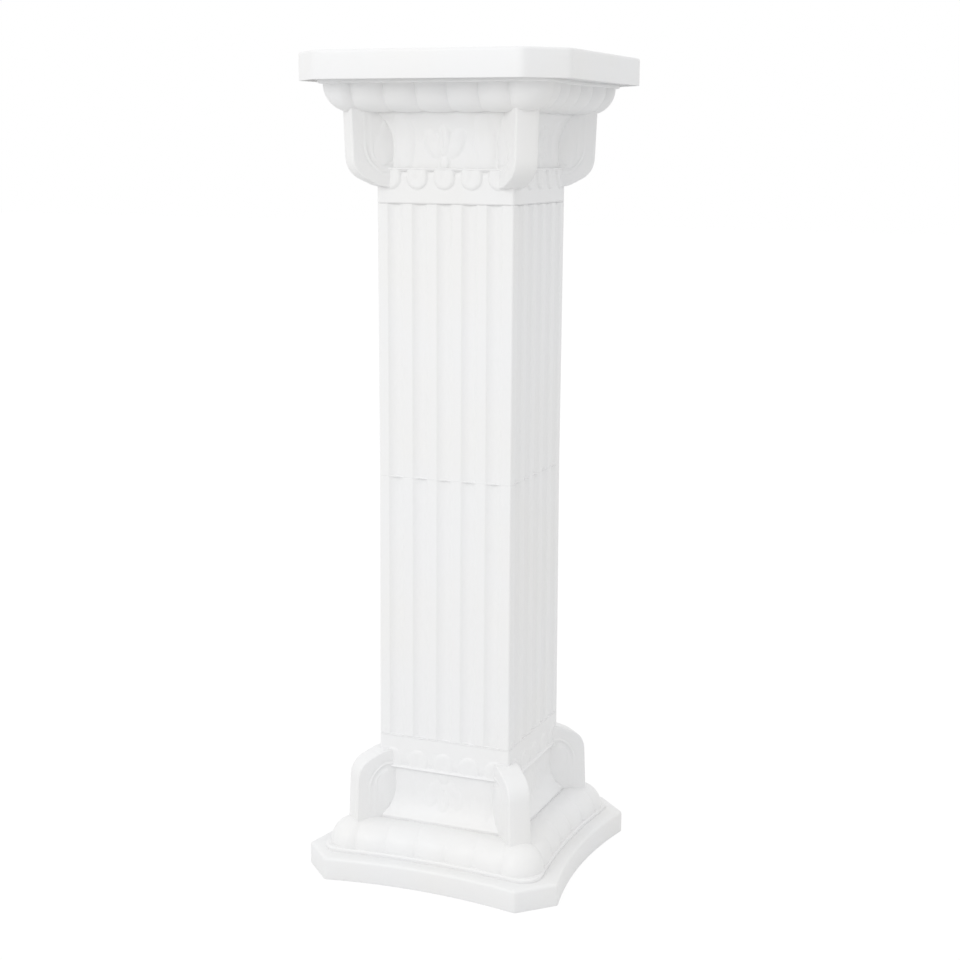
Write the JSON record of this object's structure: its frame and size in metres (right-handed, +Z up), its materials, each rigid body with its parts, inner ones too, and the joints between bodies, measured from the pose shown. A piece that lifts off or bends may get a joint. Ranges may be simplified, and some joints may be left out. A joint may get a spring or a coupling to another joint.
{
  "type": "pedestal column",
  "caption": "Square fluted pedestal column with a flared, scroll-cornered base, a matching capital and a flat top that a vase or plant stands on.",
  "frame": {"origin": "middle of the underside of the base, on the floor", "axes": "+Z up along the column; the front face looks along -Y"},
  "size_m": [0.304, 0.304, 0.9],
  "materials": {
    "white_plastic": "satin"
  },
  "bodies": {
    "base": {"base_block": "white_plastic", "base_joiner": "white_plastic"},
    "lower_section": {"lower_shaft": "white_plastic", "middle_joiner": "white_plastic"},
    "upper_section": {"upper_shaft": "white_plastic", "capital_joiner": "white_plastic"},
    "capital": {"capital_block": "white_plastic"},
    "lid": {"top_lid": "white_plastic"}
  },
  "joints": [
    {"name": "lower_shaft_lift_off", "type": "slide", "parent": "base", "child": "lower_section", "axis": [0, 0, 1], "range_m": [0, 0.045]},
    {"name": "upper_shaft_lift_off", "type": "slide", "parent": "lower_section", "child": "upper_section", "axis": [0, 0, 1], "range_m": [0, 0.045]},
    {"name": "capital_lift_off", "type": "slide", "parent": "upper_section", "child": "capital", "axis": [0, 0, 1], "range_m": [0, 0.045]},
    {"name": "lid_lift_off", "type": "slide", "parent": "capital", "child": "lid", "axis": [0, 0, 1], "range_m": [0, 0.045]}
  ]
}
